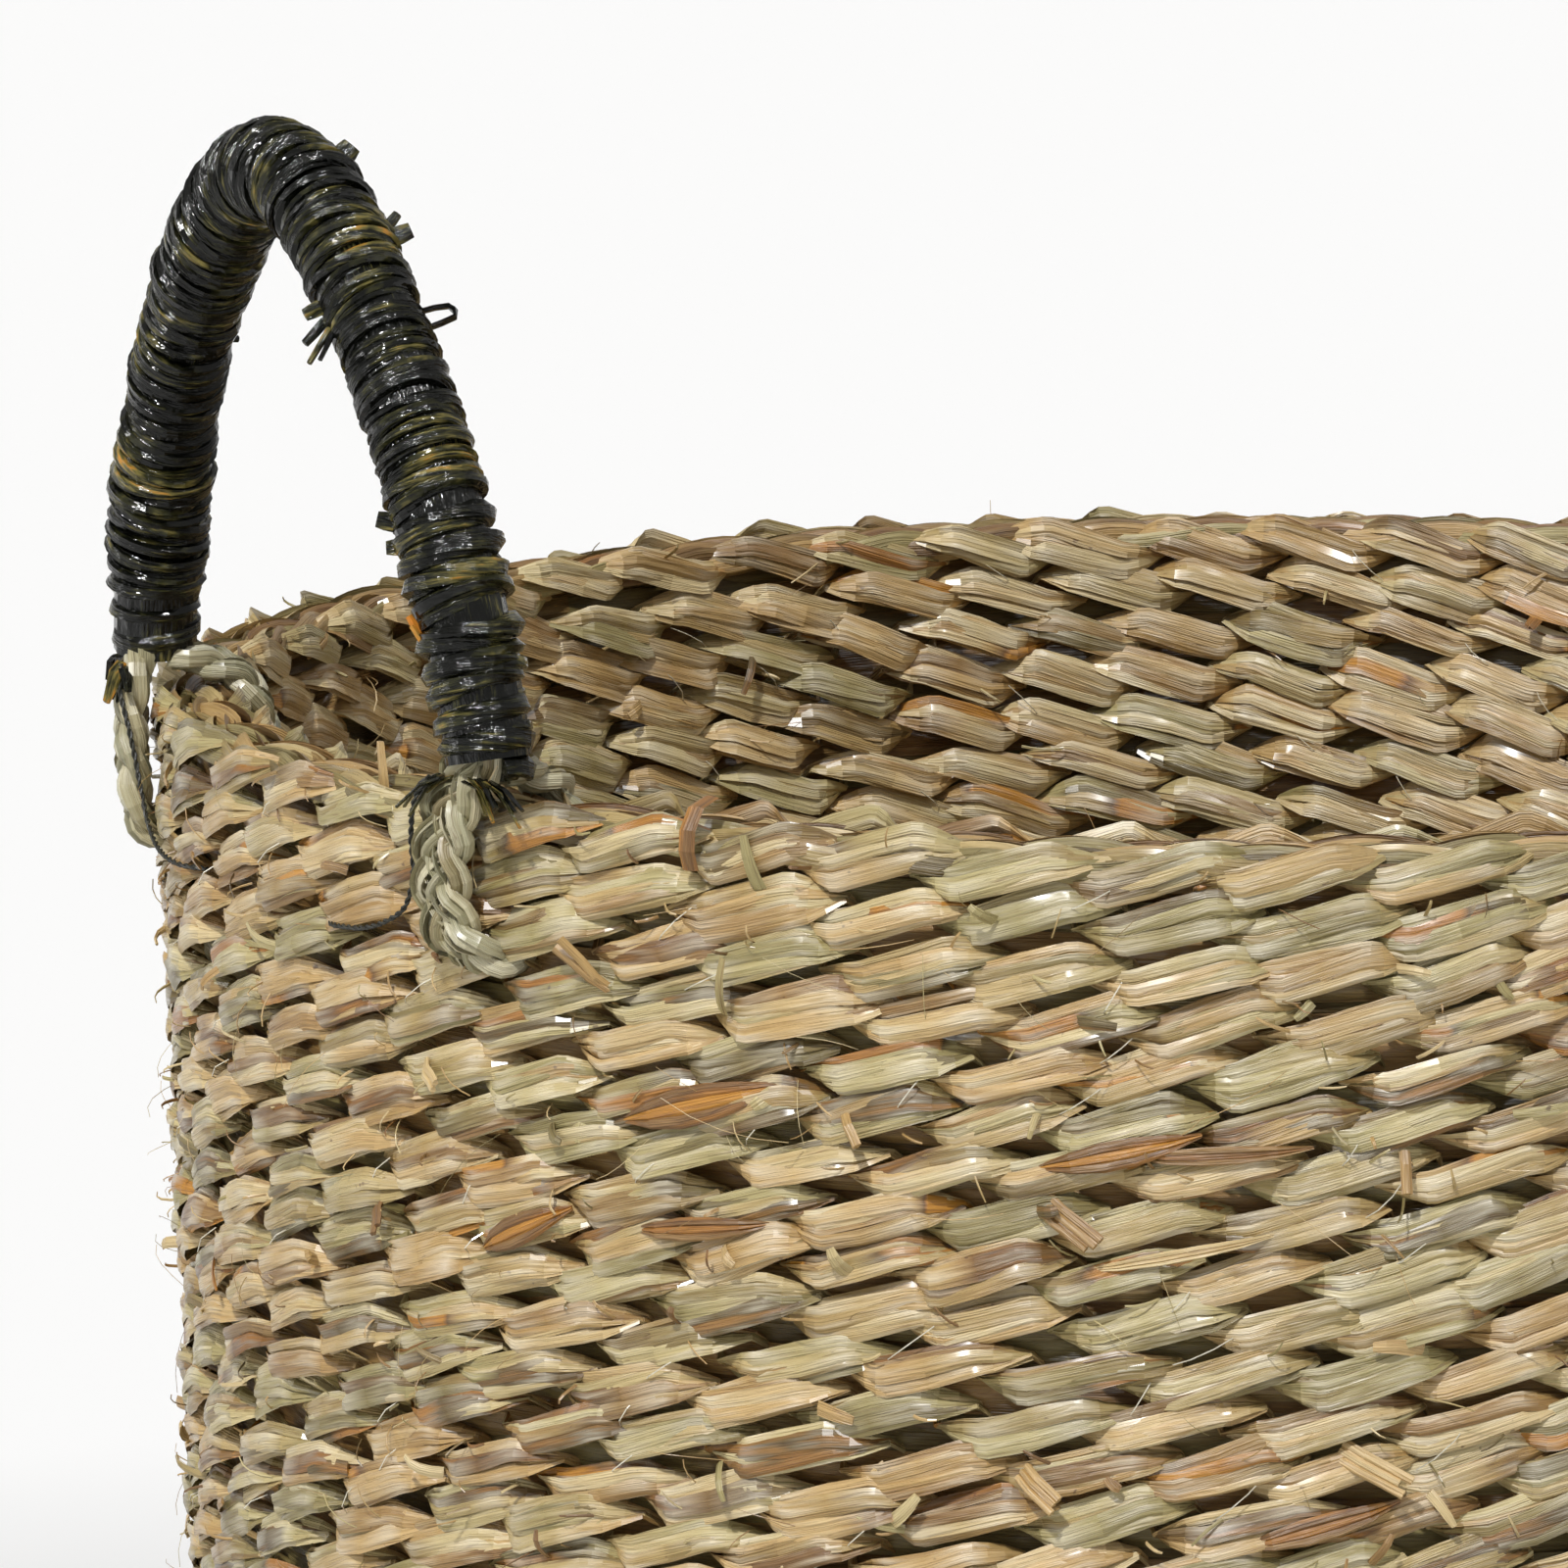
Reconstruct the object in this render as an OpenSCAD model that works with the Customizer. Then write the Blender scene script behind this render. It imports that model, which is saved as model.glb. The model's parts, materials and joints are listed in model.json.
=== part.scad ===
// Round storage basket of coiled seagrass plait with two rope handles.
// One long flat plait is coiled: on edge for the bottom, then round the heel, then flat face on flat
// face up the wall. Each turn is a course. Two wrapped rope arches stand on the rim.
// Millimetres, +Z up. The origin is the middle of the underside. The handles are at -X and +X.

/* [Basket] */
// Outside radius at the rim
rim_radius = 230; // [200:1:260]
// Number of courses from the middle of the bottom to the rim
course_count = 57; // [51:1:60]
// Lean of the wall from the vertical, in degrees
wall_lean = 2.2; // [1:0.1:4]
// Centre-line radius of the heel, where the bottom turns up into the wall
heel_radius = 22; // [18:1:28]

/* [Plait] */
// Width of the plait, which is the thickness of the wall and of the bottom
plait_w = 22; // [18:1:26]
// Thickness of the plait, which is the height of one course
plait_t = 10; // [8:0.5:12]
// Depth of the groove between two courses
groove = 2.5; // [1:0.5:3]
// Thickness of the sewing thread
thread_t = 1.2; // [0.8:0.1:1.6]

/* [Handles] */
// Distance of each handle foot from the basket's axis
foot_radius = 228; // [215:1:230]
// Angle round the rim from the middle of a handle to each of its feet
foot_angle = 22; // [16:1:28]
// Height of the arch's centre line above its feet
arch_h = 103; // [90:1:125]
// Centre-line radius of the top of the arch
arch_top_radius = 40; // [34:1:48]
// Half the angle that the top arc of the arch covers, in degrees
arch_top_half = 35; // [30:1:38]
// Lean of the standing handle away from the basket, in degrees
arch_lean = 4; // [0:1:8]
// Diameter of the wrapped handle
wrap_d = 21.4; // [18:0.2:24]
// Diameter of the rope inside the wrap
core_d = 15; // [12:0.5:16]
// Gap between the foot of a wrap and the rim
foot_gap = 0.6; // [0.4:0.1:2]

/* [Rope anchors] */
// Number of courses that each rope end is threaded under
anchored_courses = 3; // [2:1:4]
// Width of the rope, round the rim
rope_w = 13; // [10:0.5:15]
// Thickness of the rope on the outside of the wall
rope_outer_t = 8; // [5:0.5:9]
// Thickness of the rope on the inside of the wall
rope_inner_t = 6; // [4:0.5:8]
// Thickness of the rope where it passes between two courses
rope_flat_t = 6; // [4:0.5:7]
// Thickness of the black tie thread
tie_t = 1.8; // [1.2:0.1:2]
// Angle that each tie thread runs round the wall, in degrees
tie_run = 10; // [5:1:12]

/* [Hidden] */
$fn = 96;
fit_gap = 0.05;
// The arcs of a bent bar stay this far apart, so that each keeps its exact round surface
hair_gap = 0.01;
base_courses = 18;
heel_courses = 4;
wall_coils = 4;
first_wall_course = base_courses + heel_courses;
first_rim_course = course_count - anchored_courses;
coil_courses = (first_rim_course - first_wall_course) / wall_coils;

// The centre line of the courses in the r-z plane: flat, round the heel, then up the leaning wall
heel_turn = 90 - wall_lean;
heel_length = heel_radius * heel_turn * PI / 180;
coil_length = course_count * plait_t;
rim_line_radius = rim_radius - plait_w / 2 * cos(wall_lean);
flat_length = (rim_line_radius
    - (coil_length - plait_t / 2 - heel_length) * cos(heel_turn)
    - heel_radius * sin(heel_turn)) / (1 - cos(heel_turn));

function turn_at(s) = s <= flat_length ? 0
    : s >= flat_length + heel_length ? heel_turn
    : (s - flat_length) / heel_radius * 180 / PI;
function line_at(s) = let (a = turn_at(s), up = max(0, s - flat_length - heel_length))
    [min(s, flat_length) + heel_radius * sin(a) + up * cos(a),
     plait_w / 2 + heel_radius * (1 - cos(a)) + up * sin(a)];
// A point at distance s along the centre line and at distance n outside it
function skin_at(s, n) = line_at(s) + n * [sin(turn_at(s)), -cos(turn_at(s))];

rim_z = skin_at(coil_length, 0)[1];
anchor_s = first_rim_course * plait_t;
groove_at = plait_w / 2 - groove;
slot_w = rope_w + 2 * fit_gap;
slot_t = rope_flat_t + 2 * fit_gap;

foot_x = foot_radius * cos(foot_angle);
foot_y = foot_radius * sin(foot_angle);
foot_z = rim_z + wrap_d / 2 + foot_gap;
// The side arcs of the arch meet the top arc smoothly and end at the feet
top_centre = arch_h - arch_top_radius;
side_extra = (foot_y ^ 2 + top_centre ^ 2 - arch_top_radius ^ 2)
    / (2 * (arch_top_radius - foot_y * sin(arch_top_half) + top_centre * cos(arch_top_half)));
side_radius = arch_top_radius + side_extra;
side_centre = [side_extra * sin(arch_top_half), top_centre - side_extra * cos(arch_top_half)];
side_start = asin(-side_centre[1] / side_radius);
side_turn = 90 - arch_top_half - side_start;

SIDES = [["left", -1], ["right", 1]];
ENDS = [["front", -1], ["back", 1]];
NODES = concat(
    ["base_coil", "heel_coil"],
    [for (i = [1 : wall_coils]) str("wall_coil_", i)],
    ["rim_coil", "sewing_thread"],
    [for (side = SIDES) for (piece = ["handle_core", "handle_wrap"]) str(side[0], "_", piece)],
    [for (side = SIDES) for (end = ENDS) for (piece = ["anchor", "tie"])
        str(side[0], "_", end[0], "_", piece)]);
node = "all";

function shown(name) = node == "all" || node == name;
// Angle round the axis of one handle's foot: front is towards -Y
function foot_turn(side, end) = side > 0 ? end * foot_angle : 180 - end * foot_angle;

// Stands its children's plane on the wall: X out through the wall and Y up it, with its origin on
// the centre line at distance s
module on_wall(turn, s) {
    rotate([0, 0, turn])
        translate([line_at(s)[0], 0, line_at(s)[1]])
            rotate([90, 90 - turn_at(s), 0])
                children();
}

// The slots through the wall for the rope ends
module rope_slots() {
    for (side = SIDES) for (end = ENDS)
        on_wall(foot_turn(side[1], end[1]), anchor_s)
            cube([plait_w + 2, slot_t, slot_w], center = true);
}

// A run of courses from one distance along the centre line to another, grooved between courses
module coil(first, last) {
    outside = [for (k = [first : last]) for (p = [[0, groove_at], [groove, plait_w / 2],
        [plait_t - groove, plait_w / 2]]) skin_at(k * plait_t + p[0], p[1])];
    inside = [for (k = [last : -1 : first]) for (p = [[plait_t, -groove_at],
        [plait_t - groove, -plait_w / 2], [groove, -plait_w / 2]])
        skin_at(k * plait_t + p[0], p[1])];
    rotate_extrude()
        polygon(concat(outside,
            [skin_at((last + 1) * plait_t, groove_at)],
            inside,
            [skin_at(first * plait_t, -groove_at)]));
}

module base_coil() {
    color("#b7a982") coil(0, base_courses - 1);
}

module heel_coil() {
    color("#b3a47c") coil(base_courses, first_wall_course - 1);
}

module wall_coil(i) {
    first = first_wall_course + (i - 1) * coil_courses;
    color(i % 2 == 0 ? "#bfae84" : "#b5a77f") difference() {
        coil(first, first + coil_courses - 1);
        if (i == wall_coils) rope_slots();
    }
}

module rim_coil() {
    color("#c2b38b") difference() {
        coil(first_rim_course, course_count - 1);
        rope_slots();
    }
}

// The thread lies in the outer groove of every joint but the one that the ropes pass through
module sewing_thread() {
    centre = groove_at + thread_t / 2 * sqrt(2) + fit_gap;
    color("#e6e4da")
        for (k = [1 : course_count - 1]) if (k != first_rim_course)
            rotate_extrude() translate(skin_at(k * plait_t, centre)) circle(d = thread_t, $fn = 6);
}

// The section of a round bar, or of a tube when inner_d is more than 0
module bar_section(d, inner_d) {
    difference() {
        circle(d = d, $fn = 32);
        if (inner_d > 0) circle(d = inner_d, $fn = 32);
    }
}

// A bar or tube bent to an arc in the XY plane, a hair short at each end
module bent_bar(centre, radius, from, turn, d, inner_d) {
    hair = hair_gap / radius * 180 / PI;
    translate([centre[0], centre[1], 0]) rotate([0, 0, from + hair])
        rotate_extrude(angle = turn - 2 * hair)
            translate([radius, 0]) bar_section(d, inner_d);
}

// The rounded end of a bar or tube that comes down to the origin along Y
module round_end(d, inner_d) {
    rotate([90, 0, 0]) rotate_extrude() intersection() {
        bar_section(d, inner_d);
        square(d);
    }
}

// The arch as three smoothly joined arcs, with a round end at each foot
module arch(d, inner_d = 0) {
    bent_bar([0, top_centre], arch_top_radius, 90 - arch_top_half, 2 * arch_top_half, d, inner_d);
    bent_bar([-side_centre[0], side_centre[1]], side_radius, side_start, side_turn, d, inner_d);
    bent_bar(side_centre, side_radius, 90 + arch_top_half, side_turn, d, inner_d);
    translate([foot_y, 0, 0]) rotate([0, 0, side_start]) round_end(d, inner_d);
    translate([-foot_y, 0, 0]) rotate([0, 0, -side_start]) round_end(d, inner_d);
}

module on_rim(side) {
    translate([side * foot_x, 0, foot_z]) rotate([0, side * arch_lean, 0]) rotate([90, 0, 90])
        children();
}

module handle_core(side) {
    color("#a9a67c") on_rim(side) arch(core_d);
}

module handle_wrap(side) {
    color("#20231f") on_rim(side) arch(wrap_d, core_d);
}

// A rope end: down the outside of the rim courses, through the wall and up the inside
module anchor(side, end) {
    up = coil_length - anchor_s - fit_gap;
    face = plait_w / 2 + fit_gap;
    flat = rope_flat_t / 2;
    color("#a9a67c") on_wall(foot_turn(side, end), anchor_s)
        linear_extrude(rope_w, center = true) {
            translate([-face - flat, -flat]) square([2 * (face + flat), rope_flat_t]);
            translate([face, 0]) square([rope_outer_t, up]);
            translate([-face - rope_inner_t, 0]) square([rope_inner_t, up]);
            translate([face + flat, 0]) circle(r = flat);
            translate([-face - flat, 0]) circle(r = flat);
        }
}

// The black thread: down beside the rope, then round the wall in the joint's outer groove
module tie(side, end) {
    out = plait_w / 2 + tie_t / 2 + fit_gap;
    in_groove = groove_at + tie_t / 2 * sqrt(2) + fit_gap;
    to_side = -side * end;
    beside = rope_w / 2 + tie_t / 2 + fit_gap;
    beside_turn = foot_turn(side, end) + to_side * asin(beside / (line_at(anchor_s)[0] + out));
    color("#1c1e1c") {
        on_wall(beside_turn, anchor_s) {
            rotate([-90, 0, 0]) translate([out, 0, 0])
                cylinder(h = coil_length - anchor_s - 1, d = tie_t, $fn = 24);
            translate([in_groove, 0, 0]) rotate([0, 90, 0])
                cylinder(h = out - in_groove, d = tie_t, $fn = 24);
            translate([out, 0, 0]) sphere(d = tie_t, $fn = 24);
        }
        rotate([0, 0, beside_turn + (to_side > 0 ? 0 : -tie_run)])
            rotate_extrude(angle = tie_run)
                translate(skin_at(anchor_s, in_groove)) circle(d = tie_t, $fn = 24);
    }
}

if (shown("base_coil")) base_coil();
if (shown("heel_coil")) heel_coil();
for (i = [1 : wall_coils]) if (shown(str("wall_coil_", i))) wall_coil(i);
if (shown("rim_coil")) rim_coil();
if (shown("sewing_thread")) sewing_thread();
for (side = SIDES) {
    if (shown(str(side[0], "_handle_core"))) handle_core(side[1]);
    if (shown(str(side[0], "_handle_wrap"))) handle_wrap(side[1]);
    for (end = ENDS) {
        if (shown(str(side[0], "_", end[0], "_anchor"))) anchor(side[1], end[1]);
        if (shown(str(side[0], "_", end[0], "_tie"))) tie(side[1], end[1]);
    }
}
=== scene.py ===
"""Looks of the coiled seagrass storage basket: plaited courses, rope handles with black wrapping."""

import json
import math

import bpy
import numpy as np
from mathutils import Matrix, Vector


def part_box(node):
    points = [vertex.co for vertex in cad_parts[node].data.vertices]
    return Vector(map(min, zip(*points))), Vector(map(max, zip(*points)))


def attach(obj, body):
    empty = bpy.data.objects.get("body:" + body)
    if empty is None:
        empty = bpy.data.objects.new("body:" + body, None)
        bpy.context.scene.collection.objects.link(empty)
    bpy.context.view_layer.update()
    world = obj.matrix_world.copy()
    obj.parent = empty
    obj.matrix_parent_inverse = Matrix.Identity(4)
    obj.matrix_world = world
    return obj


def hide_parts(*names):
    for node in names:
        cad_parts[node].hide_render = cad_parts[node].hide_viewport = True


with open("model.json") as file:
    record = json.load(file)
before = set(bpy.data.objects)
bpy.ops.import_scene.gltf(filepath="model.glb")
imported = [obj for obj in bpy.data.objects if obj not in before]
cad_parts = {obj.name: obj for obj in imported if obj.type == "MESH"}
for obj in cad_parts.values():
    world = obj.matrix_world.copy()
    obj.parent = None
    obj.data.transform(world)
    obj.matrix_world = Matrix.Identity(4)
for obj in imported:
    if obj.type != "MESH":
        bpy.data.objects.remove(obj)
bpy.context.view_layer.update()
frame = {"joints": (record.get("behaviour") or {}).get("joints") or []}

MM = 0.001
TWO_PI = 2 * math.pi

# ---------------- sizes, in millimetres
PLAIT_WIDTH = 22.0
PLAIT_HEIGHT = 10.0
WALL_LEAN = 2.2
HEEL_RADIUS = 22.0
COURSES = 57
BASE_COURSES = 18
ANCHORED_COURSES = 3
COIL_START = 0.32
SPIRAL_UNTIL = 17.0
LEVEL_FROM = 21.0
CLIMB_FROM = 305.0
CLIMB_TO = 355.0
COIL_END_TURN = COURSES - 1 + 312.0 / 360
LAST_COURSE_FULL_TO = 0.8
RIM_UNEVEN = 3.2
RIM_HIGH_AT = 30.0
UNEVEN_FROM = 250.0
UNEVEN_TO = 570.0
COIL_STEPS = 60000
RIM_RADIUS = 230.0

rim_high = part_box("rim_coil")[1] / MM
heel_angle = math.radians(90 - WALL_LEAN)
heel_length = HEEL_RADIUS * heel_angle
coil_length = COURSES * PLAIT_HEIGHT
rim_line_radius = RIM_RADIUS - PLAIT_WIDTH / 2 * math.cos(math.radians(WALL_LEAN))
flat_length = (
    rim_line_radius
    - (coil_length - PLAIT_HEIGHT / 2 - heel_length) * math.cos(heel_angle)
    - HEEL_RADIUS * math.sin(heel_angle)
) / (1 - math.cos(heel_angle))


def line_at(s):
    """Radius, height and slope angle of the basket's centre surface at distance s from the middle."""
    angle = np.clip((s - flat_length) / HEEL_RADIUS, 0, heel_angle)
    up = np.maximum(0, s - flat_length - heel_length)
    radius = np.minimum(s, flat_length) + HEEL_RADIUS * np.sin(angle) + up * np.cos(angle)
    height = PLAIT_WIDTH / 2 + HEEL_RADIUS * (1 - np.cos(angle)) + up * np.sin(angle)
    return radius, height, angle


def smooth(x):
    """A smooth step from 0 to 1."""
    x = np.clip(x, 0, 1)
    return x * x * (3 - 2 * x)


def rim_rise(around, s):
    """How far the upper courses stand above level: the rim is a little higher at one side."""
    share = smooth((s - UNEVEN_FROM) / (UNEVEN_TO - UNEVEN_FROM))
    return RIM_UNEVEN * np.cos(around - math.radians(RIM_HIGH_AT)) * share


def distance_at(turn):
    """Distance from the middle of the bottom after that many turns: a spiral, then level courses."""
    course = np.floor(turn)
    degrees = (turn - course) * 360
    level = course + 0.5 + smooth((degrees - CLIMB_FROM) / (CLIMB_TO - CLIMB_FROM))
    share = smooth((turn - SPIRAL_UNTIL) / (LEVEL_FROM - SPIRAL_UNTIL))
    return PLAIT_HEIGHT * (turn * (1 - share) + level * share)


# The coil's own length at fine steps of the turn
turn_table = np.linspace(COIL_START, COIL_END_TURN, COIL_STEPS)
radius_table, height_table, _ = line_at(distance_at(turn_table))
step_table = np.sqrt(
    (np.diff(turn_table) * TWO_PI * (radius_table[1:] + radius_table[:-1]) / 2) ** 2
    + np.diff(radius_table) ** 2
    + np.diff(height_table) ** 2
)
length_table = np.concatenate([[0], np.cumsum(step_table)])


def coil_top(around):
    """Where along the wall the highest course is centred: the last one stops short of a full turn."""
    part = around / TWO_PI
    return distance_at(part + np.where(part < LAST_COURSE_FULL_TO, COURSES - 1, COURSES - 2))


def length_at(turn):
    """The coil's length after that many turns."""
    return float(np.interp(turn, turn_table, length_table))


def stack(*parts):
    """Points or directions from their three coordinates."""
    return np.stack(parts, axis=-1)


def unit(v):
    """Directions of length 1."""
    return v / np.maximum(np.linalg.norm(v, axis=-1, keepdims=True), 1e-9)


def length_steps(lines):
    """The length along each line at each of its points."""
    steps = np.cumsum(np.linalg.norm(np.diff(lines, axis=-2), axis=-1), axis=-1)
    return np.concatenate([np.zeros_like(steps[..., :1]), steps], axis=-1)


def square_to(forward, v):
    """The part of v that is square to forward, as a direction."""
    return unit(v - forward * np.sum(v * forward, -1, keepdims=True))


def surface_at(around, s):
    """Centre, outward direction and next-course direction of the wall at an angle and distance s."""
    radius, height, angle = line_at(s)
    c, sn = np.cos(around), np.sin(around)
    centre = stack(radius * c, radius * sn, height + rim_rise(around, s))
    outward = stack(np.sin(angle) * c, np.sin(angle) * sn, -np.cos(angle))
    onward = stack(np.cos(angle) * c, np.cos(angle) * sn, np.sin(angle))
    return centre, outward, onward


def coil_frame(u):
    """Centre, outward direction and next-course direction of the coiled plait at length u."""
    turn = np.interp(u, length_table, turn_table)
    return surface_at(turn * TWO_PI, distance_at(turn))


# ---------------- meshes swept along lines
CURVE_STEPS = 40
STALK_SECTION = np.array([(-1.0, -0.1), (-0.5, 0.8), (0.4, 0.75), (1.0, -0.05), (0.0, -0.8)])
CORD_SECTION = np.array([(-1.0, 0.0), (-0.6, 0.8), (0.15, 1.0), (0.8, 0.6), (0.95, -0.3), (0.0, -0.9)])
SHARP_ANGLE = math.radians(16)
FLOOR_GAP = 0.05
# The noise of a material is read this far apart from stalk to stalk, so that no two are alike
NOISE_STEP = 7.31


def round_section(sides):
    """A circle of radius 1, in the same order as the other sections."""
    turn = np.arange(sides) * TWO_PI / sides
    return stack(np.cos(turn), np.sin(turn))[::-1]


def tube_points(g):
    """The corner points of a group's tubes, and the values that its material reads at them."""
    centre = g["centre"]
    tubes, rings = centre.shape[:2]
    section = g.get("section", STALK_SECTION)
    forward = unit(np.gradient(centre, axis=1))
    across = square_to(forward, g["across"])
    normal = np.cross(forward, across)
    half_w = (g["width"] / 2)[..., None, None]
    half_t = (g["thick"] / 2)[..., None, None]
    points = (
        centre[:, :, None]
        + across[:, :, None] * section[None, None, :, :1] * half_w
        + normal[:, :, None] * section[None, None, :, 1:] * half_t
    )
    points[..., 2] = np.maximum(points[..., 2], FLOOR_GAP)
    fibre = np.empty(points.shape)
    fibre[..., 0] = (length_steps(centre) + g.get("start", 0))[..., None]
    fibre[..., 1] = section[None, None, :, 0] * half_w[..., 0]
    fibre[..., 2] = (g.get("first", 0) + np.arange(tubes))[:, None, None] * NOISE_STEP
    values = {"fibre": fibre.reshape(-1, 3)}
    plain = np.zeros((tubes, rings))
    for label, default in (("tone", plain), ("warm", g["tone"]), ("crease_highlight", plain)):
        by_ring = g.get(label, default)[..., None]
        values[label] = np.broadcast_to(by_ring, points.shape[:3]).reshape(-1)
    return points, values


def swept_mesh(name, groups):
    """One object from groups of tubes. A group is a dict of centre and across, each (tubes, rings, 3),
    and width, thick and tone, each (tubes, rings). It may also have warm and the mask of the painted
    crease highlight, which are like tone, a section, the length at which it starts and the number of
    its first stalk."""
    verts, loops, sizes, fields = [], [], [], []
    offset = 0
    for g in groups:
        points, values = tube_points(g)
        tubes, rings, m = points.shape[:3]
        verts.append(points.reshape(-1, 3))
        fields.append(values)
        index = offset + np.arange(tubes * rings * m).reshape(tubes, rings, m)
        ahead = np.roll(index, -1, axis=2)
        quads = np.stack([index[:, :-1], index[:, 1:], ahead[:, 1:], ahead[:, :-1]], -1)
        caps = np.concatenate([index[:, 0], index[:, -1, ::-1]])
        loops += [quads.reshape(-1), caps.reshape(-1)]
        sizes += [np.full(quads.size // 4, 4), np.full(2 * tubes, m)]
        offset += tubes * rings * m
    verts = np.concatenate(verts) * MM
    loops = np.concatenate(loops)
    sizes = np.concatenate(sizes)
    mesh = bpy.data.meshes.new(name)
    mesh.vertices.add(len(verts))
    mesh.vertices.foreach_set("co", verts.astype(np.float32).ravel())
    mesh.loops.add(len(loops))
    mesh.loops.foreach_set("vertex_index", loops.astype(np.int32))
    mesh.polygons.add(len(sizes))
    starts = np.concatenate([[0], np.cumsum(sizes)[:-1]])
    mesh.polygons.foreach_set("loop_start", starts.astype(np.int32))
    mesh.update(calc_edges=True)
    mesh.polygons.foreach_set("use_smooth", np.ones(len(sizes), bool))
    mesh.set_sharp_from_angle(angle=SHARP_ANGLE)
    for label in ("tone", "warm", "crease_highlight", "fibre"):
        values = np.concatenate([field[label] for field in fields]).astype(np.float32)
        kind, field_name = ("FLOAT_VECTOR", "vector") if values.ndim == 2 else ("FLOAT", "value")
        attribute = mesh.attributes.new(label, kind, "POINT")
        attribute.data.foreach_set(field_name, values.ravel())
    obj = bpy.data.objects.new(name, mesh)
    bpy.context.scene.collection.objects.link(obj)
    return obj


# ---------------- the three-strand plait
class Wander:
    """Seeded values at even knots along a line, one row per stalk, read with straight lines between."""

    def __init__(self, seed, rows, length, spacing, low, high):
        draws = np.random.default_rng(seed)
        self.spacing = spacing
        self.knots = draws.uniform(low, high, (rows, int(length / spacing) + 4))
        self.phase = draws.uniform(0, 1, rows)

    def place(self, u):
        return np.clip(u / self.spacing + 1 + self.phase[:, None], 0, self.knots.shape[1] - 1.001)

    def at(self, u):
        """Values at u, an array with one row per stalk."""
        place = self.place(u)
        low = place.astype(int)
        part = place - low
        rows = np.arange(len(u))[:, None]
        return self.knots[rows, low] * (1 - part) + self.knots[rows, low + 1] * part

    def nearest(self, u):
        return self.knots[np.arange(len(u))[:, None], self.place(u).astype(int)]


# One pass of a strand over a face of the plait, at lengths from the middle of the pass: a leaf shape.
# All stalks meet at the two tips, the lowest bends at the first kink and the highest at the second.
HALF_PASS = 19.5
TIP = 18.0
KINK = 8.5
TIP_RISE = 2.5
LOW_EDGE = (-5.8, -0.5)
HIGH_EDGE = (0.5, 6.0)
STRAND_TILT = 0.9
TURN_FROM = 9.0
TURN_OVER = 9.5
PASS_RINGS = (-18.0, -15.0, -12.0, -9.3, -7.7, 0.0, 7.7, 9.3, 12.0, 15.0, 18.0, 19.5)
DEPTH_AT = (-19.5, -18.0, -13.0, -8.5, 0.0, 8.5, 13.0, 18.0, 19.5)
DEPTH = (0.0, 0.36, 0.71, 0.93, 1.0, 1.0, 0.85, 0.46, 0.0)
PERIOD = 4 * HALF_PASS
TONE_CONTRAST = 1.45
TIP_WIDTH = 0.28
SPREAD_AT_TURN = 3.0
# How far the painted highlight on a crease reaches either side of a kink
CREASE_HIGHLIGHT_REACH = 1.1
# The plait is tighter in places, so that its pattern doesn't line up from course to course
DRIFT = 12.0
DRIFT_SPACING = 300.0
RUST_SHARE = 0.03
# The face towards the inside of the basket is painted paler as painted light, and is more golden
INNER_PAINTED_LIGHT = 0.12
INNER_WARMER = 0.1


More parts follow.
